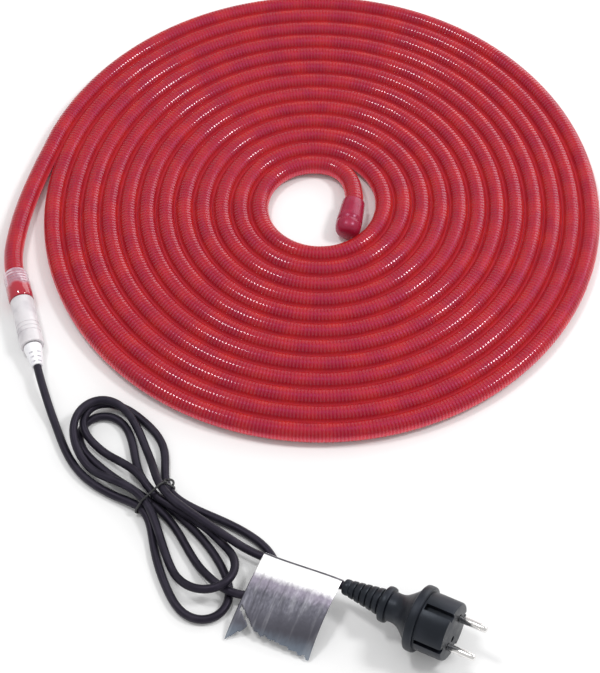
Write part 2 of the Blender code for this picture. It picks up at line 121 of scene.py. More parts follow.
def lamp(name, place, size, power):
    """Square area lamp that faces the middle of the model."""
    light = bpy.data.lights.new(name, "AREA")
    light.shape = "SQUARE"
    light.size = size
    light.energy = power
    holder = bpy.data.objects.new(name, light)
    bpy.context.scene.collection.objects.link(holder)
    holder.location = place
    holder.rotation_euler = (-Vector(place)).to_track_quat("-Z", "Y").to_euler()


floor_sheet(14.0, (0.90, 0.90, 0.90))
world = bpy.data.worlds.new("light_tent")
world.use_nodes = True
world.node_tree.nodes["Background"].inputs["Color"].default_value = (1.0, 1.0, 1.0, 1.0)
world.node_tree.nodes["Background"].inputs["Strength"].default_value = 0.66
bpy.context.scene.world = world
bpy.context.scene.view_settings.view_transform = "Standard"
lamp("broad_back_right", (1.5, 1.9, 0.95), 2.0, 24)
lamp("small_right", (1.35, 0.05, 1.80), 0.42, 17)
lamp("small_left", (-0.80, 0.25, 2.50), 0.46, 17)

# %% [markdown]
# ## The rope
#
# A rope on the floor is one long tube. A given route is turned into an even line of points,
# and a ring of vertices is laid round each point. The tube carries its own UV map: U is the
# distance along the rope in metres, and V goes once round it from the top. A rope's ribs and lamps
# follow its length, so its material reads this map and nothing else.

# %% Lines and tubes
def distances(line):
    """Distance along the line from its start to each of its points."""
    return np.concatenate([[0], np.cumsum(np.linalg.norm(np.diff(line, axis=0), axis=1))])


def smooth_line(points, spacing):
    """Evenly spaced points on a Catmull-Rom curve through the given points."""
    p = np.array([tuple(q) for q in points], dtype=float)
    p = np.vstack([2 * p[0] - p[1], p, 2 * p[-1] - p[-2]])
    t = np.linspace(0, 1, 24, endpoint=False)[:, None]
    fine = [0.5 * (2 * b + (c - a) * t + (2 * a - 5 * b + 4 * c - d) * t ** 2
                   + (3 * b - a - 3 * c + d) * t ** 3)
            for a, b, c, d in zip(p, p[1:], p[2:], p[3:])]
    fine = np.vstack([*fine, p[-2:-1]])
    along = distances(fine)
    count = max(2, round(along[-1] / spacing))
    even = np.linspace(0, along[-1], count + 1)
    return np.column_stack([np.interp(even, along, fine[:, axis]) for axis in range(3)])


def ease(line, reach):
    """The line with its bends evened out over about reach on either side; its ends stay."""
    step = line_length(line) / (len(line) - 1)
    half = round(3 * reach / step)
    weights = np.exp(-0.5 * (np.arange(-half, half + 1) * step / reach) ** 2)
    weights /= weights.sum()
    before, after = 2 * line[0] - line[half:0:-1], 2 * line[-1] - line[-2:-half - 2:-1]
    longer = np.vstack([before, line, after])
    return np.column_stack([np.convolve(longer[:, axis], weights, "valid") for axis in range(3)])


def line_length(line):
    """Length of a line from end to end."""
    return float(distances(line)[-1])


def tightest_bend(line):
    """Smallest radius of the line, from the turn between steps about 6 mm long."""
    step = line_length(line) / (len(line) - 1)
    hop = max(1, round(0.006 / step))
    a = line[hop:] - line[:-hop]
    first, second = a[:-hop], a[hop:]
    lengths = np.linalg.norm(first, axis=1) * np.linalg.norm(second, axis=1)
    turn = np.arccos(np.clip((first * second).sum(axis=1) / lengths, -1, 1))
    where = int(np.argmax(turn))
    return hop * step / float(turn[where]), line[where + hop]


def tube(name, line, radius, sides):
    """Mesh tube along a line, with metres along it in U and the way round it, from the top, in V."""
    count = len(line)
    way = np.gradient(line, axis=0)
    way /= np.linalg.norm(way, axis=1)[:, None]
    side = np.cross(way, (0, 0, 1))
    side /= np.linalg.norm(side, axis=1)[:, None]
    top = np.cross(side, way)
    turn = 2 * math.pi * np.arange(sides) / sides
    rings = (line[:, None] + radius * (np.cos(turn)[None, :, None] * top[:, None]
                                       + np.sin(turn)[None, :, None] * side[:, None]))
    faces = []
    for ring in range(count - 1):
        for k in range(sides):
            a, b = ring * sides + k, ring * sides + (k + 1) % sides
            faces.append((a, a + sides, b + sides, b))
    faces.append(tuple(range(sides)))
    faces.append(tuple(reversed(range((count - 1) * sides, count * sides))))
    mesh = bpy.data.meshes.new(name)
    mesh.from_pydata(rings.reshape(-1, 3).tolist(), [], faces)
    along = distances(line)
    corner = np.zeros((len(mesh.loops), 2))
    u0, u1 = np.repeat(along[:-1], sides), np.repeat(along[1:], sides)
    v0 = np.tile(np.arange(sides) / sides, count - 1)
    v1 = v0 + 1 / sides
    walls = np.stack([u0, v0, u1, v0, u1, v1, u0, v1], axis=1).reshape(-1, 2)
    corner[:len(walls)] = walls
    mesh.uv_layers.new(name="along").data.foreach_set("uv", corner.ravel())
    mesh.polygons.foreach_set("use_smooth", [True] * (len(faces) - 2) + [False, False])
    made = bpy.data.objects.new(name, mesh)
    bpy.context.scene.collection.objects.link(made)
    return made


# %% [markdown]
# The spiral winds inwards from the left, clockwise seen from above, losing 13.6 mm of radius each
# turn, so that the 13 mm rope lies against itself. It is made by a loop. Only the two ends are
# given point by point: the tail that runs off to the connector, and the inner end that bends into the
# bore under its cap.

# %% Rope
ROPE_DIAMETER = 0.013
RIB_HEIGHT = 0.0002
TURN_PITCH = 0.0136
START_RADIUS = 0.2048
START_AZIMUTH = 168.0
TURNS = 12 + 90 / 360
RINGS_PER_TURN = 144
JOIN = 8  # rings of the spiral that each end shares with its listed route
SLEEVE_START = at(-0.2117, -0.0722, 0.0088)
SLEEVE_WAY = heading(-72)
SLEEVE_LENGTH = 0.025
BODY_GAP, BODY_LENGTH, RELIEF_LENGTH = 0.0003, 0.0403, 0.0170
CAP_START = at(0.0266, 0.0018, 0.0094)
CAP_WAY = heading(-98.5)

rope_radius = ROPE_DIAMETER / 2 + RIB_HEIGHT
REST_HEIGHT = rope_radius
turns = np.linspace(0, TURNS, round(TURNS * RINGS_PER_TURN) + 1)
azimuth = np.radians(START_AZIMUTH - 360 * turns)
reach = START_RADIUS - TURN_PITCH * turns
spiral = np.column_stack([reach * np.cos(azimuth), reach * np.sin(azimuth),
                          np.full_like(turns, REST_HEIGHT)]) + np.array(COIL_CENTRE)
tail_by_hand = smooth_line([
    SLEEVE_START + SLEEVE_WAY * 0.0244, SLEEVE_START, SLEEVE_START - SLEEVE_WAY * 0.004,
    at(-0.2150, -0.0550, 0.0082), at(-0.2152, -0.0420, 0.0076), at(-0.2138, -0.0212, 0.0070),
    at(-0.2103, 0.0014, REST_HEIGHT), at(-0.2052, 0.0244, REST_HEIGHT), *spiral[0:JOIN + 1:2]], 0.005)
inner_by_hand = smooth_line([
    *spiral[-JOIN:-1:3], spiral[-1], at(0.0132, 0.0348, REST_HEIGHT), at(0.0188, 0.0302, 0.0069),
    at(0.0238, 0.0220, 0.0075), at(0.0262, 0.0112, 0.0087), CAP_START,
    CAP_START + CAP_WAY * 0.0177], 0.003)
rope_line = np.vstack([tail_by_hand, spiral[JOIN + 1:-JOIN - 1], inner_by_hand])
rope = tube("rope", rope_line, rope_radius, 24)
print("Rope:", round(line_length(rope_line), 3), "m,", len(rope.data.polygons), "faces, tightest bend",
      round(tightest_bend(rope_line)[0] * 1000, 1), "mm")

# %% [markdown]
# ## The mains lead
#
# The lead is 5.6 mm thick and about 1.5 m long. Seven stretches of it pass through the tie, four
# side by side on the floor and three in the hollows on top of them, and on each side of the tie
# they open into loops. The floor plan of the route is listed, in millimetres. The heights
# are not: cord lies on cord, so they follow from the plan.

# %% Plan of the lead
LEAD_DIAMETER = 0.0056
TIE_CENTRE = at(-0.0975, -0.2500)
TIE_WAY = heading(-50)
TIE_ACROSS = heading(40)


def through_tie(slot):
    """Plan point, in millimetres, of a stretch that passes the tie in a slot across it."""
    middle = (TIE_CENTRE - COIL_CENTRE) * 1000 + TIE_ACROSS * slot
    return (middle.x, middle.y)


RELIEF_TIP = SLEEVE_START + SLEEVE_WAY * (SLEEVE_LENGTH + BODY_GAP + BODY_LENGTH + RELIEF_LENGTH)
LEAD_PLAN = [
    (-178.3, -172.5), (-174.0, -183.5), (-169.2, -193.5), (-165.0, -203.6), (-158.4, -217.6),
    (-149.6, -230.0), (-139.0, -239.2), (-126.0, -246.4), (-114.6, -251.6),
    through_tie(-8.8),
    (-98.0, -268.0), (-94.6, -285.0), (-88.8, -303.0), (-81.5, -318.5), (-74.0, -330.6),
    (-61.0, -336.8), (-47.2, -331.6), (-42.2, -318.0), (-46.8, -302.0), (-56.0, -286.5),
    (-67.2, -272.8), (-78.5, -262.0),
    through_tie(2.9),
    (-108.2, -232.5), (-112.4, -220.0), (-115.2, -208.0), (-118.6, -197.0), (-125.2, -187.8),
    (-135.8, -183.8), (-147.2, -187.8), (-153.2, -198.6), (-150.8, -210.6), (-140.5, -221.6),
    (-127.5, -232.2), (-114.2, -241.2),
    through_tie(-2.9),
    (-82.6, -268.0), (-71.5, -287.0), (-60.0, -303.5), (-47.5, -315.8), (-34.0, -320.6),
    (-20.5, -316.6), (-13.0, -305.5), (-14.2, -292.5), (-21.5, -281.6), (-32.5, -273.2),
    (-46.0, -265.6), (-60.0, -259.6), (-73.0, -253.8), (-82.0, -248.4),
    through_tie(11.2),
    (-92.4, -231.6), (-92.2, -219.0), (-94.6, -206.5), (-101.8, -195.6), (-111.0, -187.4),
    (-120.6, -179.4), (-131.6, -175.2), (-144.6, -179.2), (-151.2, -191.2), (-147.8, -204.6),
    (-137.2, -212.8), (-127.0, -220.0), (-116.5, -227.4), (-107.0, -234.8),
    through_tie(0.1),
    (-76.4, -262.0), (-62.4, -270.4), (-50.0, -280.6), (-41.4, -292.5), (-39.2, -305.4),
    (-45.6, -316.0), (-57.2, -320.4), (-69.4, -316.6), (-79.6, -304.5), (-87.4, -288.0),
    (-94.0, -270.5),
    through_tie(-5.8),
    (-114.0, -243.6), (-126.5, -238.0), (-139.0, -231.4), (-149.6, -220.2), (-155.8, -205.5),
    (-154.6, -190.8), (-146.0, -180.6), (-134.0, -177.2), (-122.0, -183.0), (-112.6, -196.4),
    (-105.8, -211.0), (-100.2, -226.0),
    through_tie(5.8),
    (-79.6, -259.4), (-62.0, -270.6), (-46.0, -280.2), (-35.0, -286.2), (-24.5, -291.6),
    (-10.0, -298.0), (4.0, -303.8), (17.0, -309.2),
]

# %% Plug axis
NOSE_UP = 6  # degrees
PLUG_WAY = heading(-26, NOSE_UP)
FLANGE_MIDDLE, FLANGE_RADIUS, FLANGE_HALF = 0.053, 0.0218, 0.003
nose_up = math.radians(NOSE_UP)
FLANGE_HEIGHT = FLANGE_RADIUS * math.cos(nose_up) + FLANGE_HALF * math.sin(nose_up)
PLUG_START = at(0.0783, -0.3383, FLANGE_HEIGHT) - PLUG_WAY * FLANGE_MIDDLE
LEAD_END = PLUG_START + PLUG_WAY * 0.002
print("Boot's tip at", [round(v, 4) for v in PLUG_START])

# %% [markdown]
# Where a later stretch crosses an earlier one it lies over it. For every pair of points nearer
# than a diameter in the plan, the later one is lifted until the two round sections just touch.
# Each lift is spread into a long low hump, as a stiff cord makes, and the pass is repeated until
# nothing moves, because a stretch that rises lifts what lies on it.

# %% Heights of the lead
LEAD_STEP = 0.0025
EASE_REACH = 0.0060
HUMP_RADIUS = 0.065
HEIGHT_EASE = 0.0050
CROSSING_SLACK = 0.0003
TIE_WIRE = 0.0016


def stack_heights(plan, floor_height, diameter, rank, spread):
    """Heights for a cord that lies on the floor and on its own lower-ranked stretches."""
    count = len(plan)
    step = np.linalg.norm(np.diff(plan, axis=0), axis=1).mean()
    apart = np.linalg.norm(plan[:, None] - plan[None], axis=2)
    order = np.arange(count)
    near = (apart < diameter) & (abs(order[:, None] - order[None]) * step > 4 * diameter)
    over = near & (rank[:, None] > rank[None])
    lift = np.where(over, np.sqrt(np.clip(diameter ** 2 - apart ** 2, 0, None)), 0)
    hump = (abs(order[:, None] - order[None]) * step) ** 2 / (2 * spread)
    heights = floor_height.copy()
    for _ in range(40):
        needed = np.where(over, heights[None] + lift, 0).max(axis=1)
        needed = np.maximum(needed, floor_height)
        raised = np.maximum((needed[None] - hump).max(axis=1), needed)
        if np.abs(raised - heights).max() < 1e-6:
            break
        heights = raised
    return heights


route = [RELIEF_TIP - SLEEVE_WAY * 0.004, RELIEF_TIP + SLEEVE_WAY * 0.011]
route += [at(x / 1000, y / 1000) for x, y in LEAD_PLAN]
route += [LEAD_END - PLUG_WAY * 0.010, LEAD_END]
plan_line = ease(smooth_line([(p.x, p.y, 0) for p in route], LEAD_STEP), EASE_REACH)
bend, bend_at = tightest_bend(plan_line)
print("Lead plan:", len(route), "points,", round(line_length(plan_line), 3), "m, tightest bend",
      round(bend * 1000, 1), "mm at", [round(float(v) * 1000) for v in bend_at - np.array(COIL_CENTRE)])

# %% Rest the lead on the floor and on itself
lead_radius = LEAD_DIAMETER / 2
along = distances(plan_line)
from_end = along[-1] - along
relief_drop = np.interp(along, [0, 0.015, 0.027, 0.040, 0.052],
                        [RELIEF_TIP.z, RELIEF_TIP.z, 0.0056, 0.0033, lead_radius])
boot_rise = np.interp(from_end, [0, 0.010, 0.027, 0.046, 0.066, 0.075, 0.085, 0.096, 0.125],
                      [LEAD_END.z, LEAD_END.z - 0.0010, 0.0130, 0.0102, 0.0086, 0.0076, 0.0066,
                       0.0058, lead_radius])
over_tie = np.linalg.norm(plan_line - np.array(TIE_CENTRE), axis=1) < 0.011
wire_rise = np.where(over_tie, TIE_WIRE + lead_radius, lead_radius)
floor_height = np.max([relief_drop, boot_rise, wire_rise], axis=0)
rank = np.arange(len(plan_line), dtype=float)
heights = stack_heights(plan_line[:, :2], floor_height, LEAD_DIAMETER + CROSSING_SLACK, rank,
                        HUMP_RADIUS)
lead_line = ease(np.column_stack([plan_line[:, :2], heights]), HEIGHT_EASE)
lead = tube("lead", lead_line, lead_radius, 12)
bend, bend_at = tightest_bend(lead_line)
print("Lead:", round(line_length(lead_line), 3), "m, highest middle", round(heights.max() * 1000, 1),
      "mm, tightest bend", round(bend * 1000, 1), "mm at",
      [round(float(v) * 1000) for v in bend_at - np.array(COIL_CENTRE)])

# %% [markdown]
# ## Turned pieces
#
# The cap, the connector and the plug are round mouldings. Each starts as a filled circle that is
# extruded along its axis and resized at every step of its outline, as one would do by hand in
# edit mode. The finished mesh is then turned to its own axis and moved to its place, so that the
# object itself stays at the origin.

# %% Helpers for turned pieces
def begin():
    """Object mode with nothing selected, ready for a new primitive."""
    if bpy.context.mode != "OBJECT":
        bpy.ops.object.mode_set(mode="OBJECT")
    bpy.ops.object.select_all(action="DESELECT")


def pick(piece):
    """Make a piece the only selected one."""
    begin()
    piece.select_set(True)
    bpy.context.view_layer.objects.active = piece


def grow(name, outline, sides, hollow=False):
    """Round piece along +Z. Its outline is (height, radius) steps, which close if it is hollow."""
    begin()
    height, radius = outline[0]
    fill = "NOTHING" if hollow else "NGON"
    bpy.ops.mesh.primitive_circle_add(vertices=sides, radius=radius, fill_type=fill,
                                      location=(0, 0, height))
    piece = bpy.context.object
    piece.name = piece.data.name = name
    bpy.ops.object.transform_apply(location=True)
    bpy.ops.object.mode_set(mode="EDIT")
    bpy.ops.mesh.select_all(action="SELECT")
    for next_height, next_radius in outline[1:]:
        rise = (0, 0, next_height - height)
        bpy.ops.mesh.extrude_region_move(TRANSFORM_OT_translate={"value": rise})
        scale = next_radius / radius
        bpy.ops.transform.resize(value=(scale, scale, 1), center_override=(0, 0, next_height))
        height, radius = next_height, next_radius
    if hollow:
        bpy.ops.mesh.select_all(action="DESELECT")
        bpy.ops.mesh.select_non_manifold()
        bpy.ops.mesh.bridge_edge_loops()
    bpy.ops.mesh.select_all(action="SELECT")
    bpy.ops.mesh.normals_make_consistent(inside=False)
    bpy.ops.object.mode_set(mode="OBJECT")
    return piece


def smooth(piece, angle=35):
    """Shade a piece smoothly, with edges sharper than the angle left hard."""
    pick(piece)
    bpy.ops.object.shade_smooth_by_angle(angle=math.radians(angle))


def axis_frame(start, way, roll=0.0):
    """Matrix that puts local Z along way from start, with local X level before the roll."""
    side = Vector((0, 0, 1)).cross(way).normalized()
    turn = Matrix((side, way.cross(side), way)).transposed().to_4x4()
    return Matrix.Translation(start) @ turn @ Matrix.Rotation(math.radians(roll), 4, "Z")


def seat(piece, start, way, roll=0.0):
    """Put a piece built along +Z on its own axis, in its mesh."""
    piece.data.transform(axis_frame(start, way, roll))
    piece.data.update()


def cut_away(piece, cutter):
    """Take the cutter's shape out of the piece, then remove the cutter."""
    pick(piece)
    bite = piece.modifiers.new("bite", "BOOLEAN")
    bite.operation = "DIFFERENCE"
    bite.solver = "EXACT"
    bite.object = cutter
    bpy.ops.object.modifier_apply(modifier=bite.name)
    bpy.data.objects.remove(cutter, do_unlink=True)


def box_cutter(angle, radius, height, size):
    """Box, outwards by across by along the axis in size, at an angle round a piece grown along +Z."""
    begin()
    bpy.ops.mesh.primitive_cube_add(size=1, location=(radius, 0, height))
    cutter = bpy.context.object
    bpy.ops.transform.resize(value=size)
    bpy.ops.object.transform_apply(location=True, rotation=True, scale=True)
    cutter.data.transform(Matrix.Rotation(math.radians(angle), 4, "Z"))
    return cutter


# %% [markdown]
# The cap on the inner end is one soft moulding. It is a little narrower at its mouth, where it
# grips the rope, and closes in a rounded end. The outline starts at the floor of its socket and
# comes out round the lip, so the rope lies in a real hollow.

# %% End cap
cap_outline = [(0.0180, 0.0067), (0.0002, 0.0068), (0.0, 0.0072), (0.0002, 0.0080), (0.0010, 0.0083),
               (0.0080, 0.0088), (0.0160, 0.0093), (0.0192, 0.0094), (0.0195, 0.0091), (0.0203, 0.0091),
               (0.0206, 0.0094), (0.0225, 0.0094), (0.0250, 0.0091), (0.0270, 0.0085),
               (0.0284, 0.0075), (0.0294, 0.0060), (0.0299, 0.0040), (0.0300, 0.0012)]
end_cap = grow("end_cap_moulding", cap_outline, 40)
smooth(end_cap, 60)
seat(end_cap, CAP_START, CAP_WAY)
print("End cap:", len(end_cap.data.polygons), "faces")

# %% [markdown]
# The connector is three pieces in line: a clear sleeve shrunk over the rope, a milky body against
# the sleeve's end, and a white strain relief. The sleeve's bore is as wide as the rope, because a
# shrunk sleeve leaves no air round it. The relief is slotted so that it bends with the lead. The
# slots are cut out of the finished taper.

# %% Connector
SLEEVE_BORE = 0.00662
sleeve_rings = [(0.0250, SLEEVE_BORE), (0.0250, 0.0084), (0.0244, 0.0088), (0.0180, 0.0089),
                (0.0060, 0.0089), (0.0034, 0.0088), (0.0018, 0.0085), (0.0007, 0.0080),
                (0.0001, 0.0073), (0.0004, 0.0068), (0.0012, SLEEVE_BORE), (0.0249, SLEEVE_BORE)]
sleeve = grow("clear_sleeve", sleeve_rings, 48, hollow=True)
smooth(sleeve, 50)
seat(sleeve, SLEEVE_START, SLEEVE_WAY)

BODY_START = SLEEVE_START + SLEEVE_WAY * (SLEEVE_LENGTH + BODY_GAP)
body_outline = [(-0.0006, 0.0058), (-0.0005, 0.0062), (0.0, 0.0062), (0.0, 0.0078), (0.0006, 0.0082)]
for ring_at in (0.0228, 0.0262, 0.0296):
    body_outline += [(ring_at, 0.0083), (ring_at + 0.0003, 0.0079), (ring_at + 0.0010, 0.0079),
                     (ring_at + 0.0013, 0.0083)]
body_outline += [(0.0390, 0.0083), (0.0398, 0.0081), (0.0400, 0.0076), (0.0400, 0.0066),
                 (0.0392, 0.0064), (0.0390, 0.0020)]
connector = grow("milky_body", body_outline, 48)
smooth(connector, 40)
seat(connector, BODY_START, SLEEVE_WAY)

RELIEF_START = BODY_START + SLEEVE_WAY * BODY_LENGTH
relief_outline = [(0.0, 0.0058), (0.0004, 0.0063), (0.0030, 0.0063), (0.0042, 0.0060), (0.0164, 0.0039),
                  (RELIEF_LENGTH, 0.0036), (RELIEF_LENGTH, 0.0030)]
relief = grow("slotted_relief", relief_outline, 48)
for slot_at in (0.0078, 0.0113, 0.0148):
    wall = 0.0060 - (slot_at - 0.0042) * 0.172  # the taper's radius here
    for angle in (50, 117, 230, 297):
        cut_away(relief, box_cutter(angle, wall + 0.0002, slot_at, (0.0028, 0.0032, 0.0012)))
smooth(relief, 35)
seat(relief, RELIEF_START, SLEEVE_WAY)
print("Connector:", [(o.name, len(o.data.polygons)) for o in (sleeve, connector, relief)])

# %% [markdown]
# ## The plug
#
# The plug is one rubber moulding: a ribbed boot, a collar, a slim neck that flares to a round
# flange, and a cylinder that goes into the socket. A pair of deep grooves runs along each side of
# that cylinder, and its face has a small hole. They are cut out of the grown body.

# %% Plug body
FACE_AT = 0.0755
PLUG_RADIUS = 0.0192
PIN_ASIDE = 0.0095  # half of the 19 mm between the pins
PLUG_ROLL = 20
GROOVES = [(71, 0.0084, 0.0046), (146, 0.0076, 0.0034)]  # angle, depth of the box, width
GROOVES_AT, GROOVE_LENGTH = 0.0666, 0.0188
boot = [(-0.0012, 0.0034), (-0.0012, 0.0042), (-0.0008, 0.0048), (0.0002, 0.0052), (0.0016, 0.0053),
        (0.0030, 0.0051), (0.0036, 0.0046)]
for rib in range(5):
    foot, radius = 0.0038 + rib * 0.0045, 0.0053 + rib * 0.00066
    boot += [(foot, radius), (foot + 0.0006, radius + 0.0004), (foot + 0.0028, radius + 0.0007),
             (foot + 0.0033, radius + 0.0004), (foot + 0.0035, radius - 0.0006),
             (foot + 0.0043, radius - 0.0005)]
plug_outline = boot + [
    (0.0268, 0.0083), (0.0270, 0.0105), (0.0276, 0.0115), (0.0286, 0.0118), (0.0306, 0.0118),
    (0.0316, 0.0114), (0.0320, 0.0104), (0.0322, 0.0097), (0.0360, 0.0096), (0.0380, 0.0098),
    (0.0404, 0.0107), (0.0430, 0.0125), (0.0456, 0.0148), (0.0478, 0.0168), (0.0494, 0.0180),
    (0.0498, 0.0196), (0.0500, 0.0208), (0.0506, 0.0215), (0.0516, FLANGE_RADIUS),
    (0.0544, FLANGE_RADIUS),
    (0.0554, 0.0215), (0.0560, 0.0208), (0.0561, 0.0196), (0.0562, PLUG_RADIUS), (0.0741, PLUG_RADIUS),
    (0.0749, 0.0190), (0.0754, 0.0186), (FACE_AT, 0.0180), (FACE_AT, 0.0020)]
plug = grow("plug_moulding", plug_outline, 72)


def hole_cutter(x, y, radius, depth):
    """Cylinder that cuts a hole of that depth into the plug's face."""
    begin()
    bpy.ops.mesh.primitive_cylinder_add(vertices=24, radius=radius, depth=2 * depth,
                                        location=(x, y, FACE_AT))
    cutter = bpy.context.object
    bpy.ops.object.transform_apply(location=True)
    return cutter


for turned in (0, 180):
    for angle, deep, wide in GROOVES:
        groove = box_cutter(angle + turned, PLUG_RADIUS, GROOVES_AT, (deep, wide, GROOVE_LENGTH))
        cut_away(plug, groove)
cut_away(plug, hole_cutter(-0.0036, -0.0043, 0.0021, 0.008))
for side in (1, -1):
    cut_away(plug, hole_cutter(side * PIN_ASIDE, 0.0, 0.0027, 0.0014))
smooth(plug, 32)
seat(plug, PLUG_START, PLUG_WAY, PLUG_ROLL)
print("Plug:", len(plug.data.polygons), "faces")

# %% [markdown]
# A pin is a solid nickel-plated rod with a rounded end. It is modelled once, and the second one
# is a copy with its own mesh.

# %% Pins
pin_outline = [(-0.0090, 0.0022), (-0.0088, 0.0024), (0.0166, 0.0024), (0.0176, 0.0023),
               (0.0184, 0.0020), (0.0188, 0.0015), (0.0190, 0.0006)]
pin_1 = grow("pin_rod_1", pin_outline, 32)
smooth(pin_1, 60)
pin_2 = pin_1.copy()
pin_2.data = pin_1.data.copy()
pin_2.name = pin_2.data.name = "pin_rod_2"
bpy.context.scene.collection.objects.link(pin_2)
for pin, side in ((pin_1, -1), (pin_2, 1)):
    pin.data.transform(Matrix.Translation((side * PIN_ASIDE, 0, FACE_AT)))
    seat(pin, PLUG_START, PLUG_WAY, PLUG_ROLL)
print("Pins:", pin_1.name, pin_2.name)

# %% [markdown]
# ## The tie and the label
#
# A thin coated wire is wound once round the seven stretches and twisted. Its loop is the outline
# of the bundle itself, found where the lead passes through the tie's plane.

# %% Twist tie
def wire(name, points, radius):
    """Round wire along points: a curve with a bevel, made a mesh."""
    begin()
    curve = bpy.data.curves.new(name, "CURVE")
    curve.dimensions = "3D"
    curve.bevel_depth = radius
    curve.bevel_resolution = 3
    curve.use_fill_caps = True
    spline = curve.splines.new("POLY")
    spline.points.add(len(points) - 1)
    for slot, point in zip(spline.points, points):
        slot.co = (*point, 1.0)
    made = bpy.data.objects.new(name, curve)
    bpy.context.scene.collection.objects.link(made)
    pick(made)
    bpy.ops.object.convert(target="MESH")
    return bpy.context.object


offset = lead_line - np.array(TIE_CENTRE)
beside, ahead = offset @ np.array(TIE_ACROSS), offset @ np.array(TIE_WAY)
in_plane = (np.abs(ahead) < 0.002) & (np.abs(beside) < 0.02)
centres = np.column_stack([beside[in_plane], lead_line[in_plane, 2]])
wire_radius = TIE_WIRE / 2


def tie_place(across, up, ahead=0.0):
    """Place measured from the tie: across the bundle, above the floor and along the lead."""
    return TIE_CENTRE + TIE_ACROSS * across + TIE_WAY * ahead + Vector((0, 0, up))


KNOT_ANGLE = 54
loop = []
for turn in np.radians(np.arange(KNOT_ANGLE, KNOT_ANGLE + 361, 6)):
    out = np.array([math.cos(turn), math.sin(turn)])
    edge = centres[np.argmax(centres @ out)] + out * (lead_radius + wire_radius)
    loop.append((edge[0], max(edge[1], wire_radius)))
knot_at, knot_height = loop[0]
TWIST_LENGTH, TWISTS, CURL_RADIUS = 0.0016, 0.5, 0.0030
strands = []
for phase in (0.0, math.pi):
    strand = []
    for share in np.linspace(0, 1, 16):
        turn = phase + 2 * math.pi * TWISTS * share
        strand.append(tie_place(knot_at + wire_radius + TWIST_LENGTH * share,
                                knot_height + wire_radius * 1.05 * math.cos(turn),
                                wire_radius * 1.05 * math.sin(turn)))
    strands.append(strand)
curl = [tie_place(knot_at + wire_radius + TWIST_LENGTH + CURL_RADIUS * math.sin(turn),
                  knot_height + 0.0015 * turn / 4, CURL_RADIUS * (1 - math.cos(turn)))
        for turn in np.radians(np.arange(20, 161, 20))]
round_bundle = [tie_place(*place) for place in loop[1:-1]]
tie = wire("wire_tie", curl[::-1] + strands[0][::-1] + round_bundle + strands[1], wire_radius)
print("Bundle:", len(centres), "points in the tie's plane, top at",
      round(centres[:, 1].max() * 1000, 1), "mm")

# %% [markdown]
# The label is a strip of thin foil, folded round the lead and pressed together into a flag. It is
# a sheet, so it is laid out as a grid: down its length it goes round the lead and then hangs to
# the floor, and across it follows the lead. Creases are small folds added along a few directions.
# Its lower edge is torn: squares beyond a ragged line, and along one slit, are left out. A corner
# still hangs on by the strip that the slit stops short of.

# %% Foil label
LABEL_LENGTH = 0.0555
LABEL_COLUMNS, LABEL_ROWS = 84, 104
WRAPPED = 0.25  # share of the rows that lie round the lead
WRAP_FROM, WRAP_BY = 130, 250  # degrees from the top of the lead
LABEL_FROM_BOOT = 0.0050
FOOT_LEFT, FOOT_RIGHT = at(-0.0447, -0.3479, 0.0008), at(0.0088, -0.3607, 0.0008)
CREASES = [(0.17, 0.3, 0.0004, 0.030), (0.25, 0.2, 0.0003, 0.025), (0.52, 0.9, 0.0003, 0.06),
           (0.74, -0.2, 0.0002, 0.05), (0.90, 0.2, 0.0002, 0.04)]
TORN_EDGE = [(0.0, 1.0), (0.10, 0.92), (0.21, 0.82), (0.27, 0.86), (0.45, 0.89), (0.70, 0.93),
             (1.0, 0.99)]


def on_lead(from_boot):
    """Middle of the lead at a distance from its plug end."""
    back = lead_line[::-1]
    return Vector([float(np.interp(from_boot, distances(back), back[:, k])) for k in range(3)])


def label_foil():
    """Points of the label, column by column, and the place of each on the flat sheet."""
    wrap = lead_radius + 0.0004
    points, uvs = [], []
    for column in range(LABEL_COLUMNS + 1):
        u = column / LABEL_COLUMNS
        wanted = LABEL_FROM_BOOT + LABEL_LENGTH * (1 - u)
        middle = on_lead(wanted)
        way = (on_lead(wanted - 0.002) - middle).normalized()
        down = Vector((way.y, -way.x, 0)).normalized()
        up = down.cross(way)
        foot = FOOT_LEFT.lerp(FOOT_RIGHT, u)
        for row in range(LABEL_ROWS + 1):
            v = row / LABEL_ROWS
            turn = math.radians(WRAP_FROM + WRAP_BY * min(1, v / WRAPPED))
            point = middle + (down * math.sin(turn) + up * math.cos(turn)) * wrap
            if v > WRAPPED:
                share = (v - WRAPPED) / (1 - WRAPPED)
                height = foot.z + (point.z - foot.z) * (1 - share ** 3)
                point = point.lerp(foot, share)
                point.z = height
                fold = sum(depth * math.exp(-((u - where - lean * (share - 0.5) * 0.3) / wide) ** 2)
                           for where, lean, depth, wide in CREASES)
                point.z += fold * min(1, 4 * share) * min(1, 6 * (1 - share) + 0.3)
            points.append(point)
            uvs.append((u, v))
    return points, uvs


def torn_off(column, row):
    """Whether a square of the grid lies beyond the torn edge or in the slit."""
    u = (column + 0.5) / LABEL_COLUMNS
    share = ((row + 0.5) / LABEL_ROWS - WRAPPED) / (1 - WRAPPED)
    teeth = 0.020 * abs(math.sin(23 * u + 3 * u * u)) + 0.008 * math.sin(61 * u + 1)
    edge = np.interp(u, *zip(*TORN_EDGE)) - teeth
    in_slit = 0.035 < u < 0.30 and abs(share - 0.60 - 0.93 * u) < 0.024
    return share > edge or in_slit


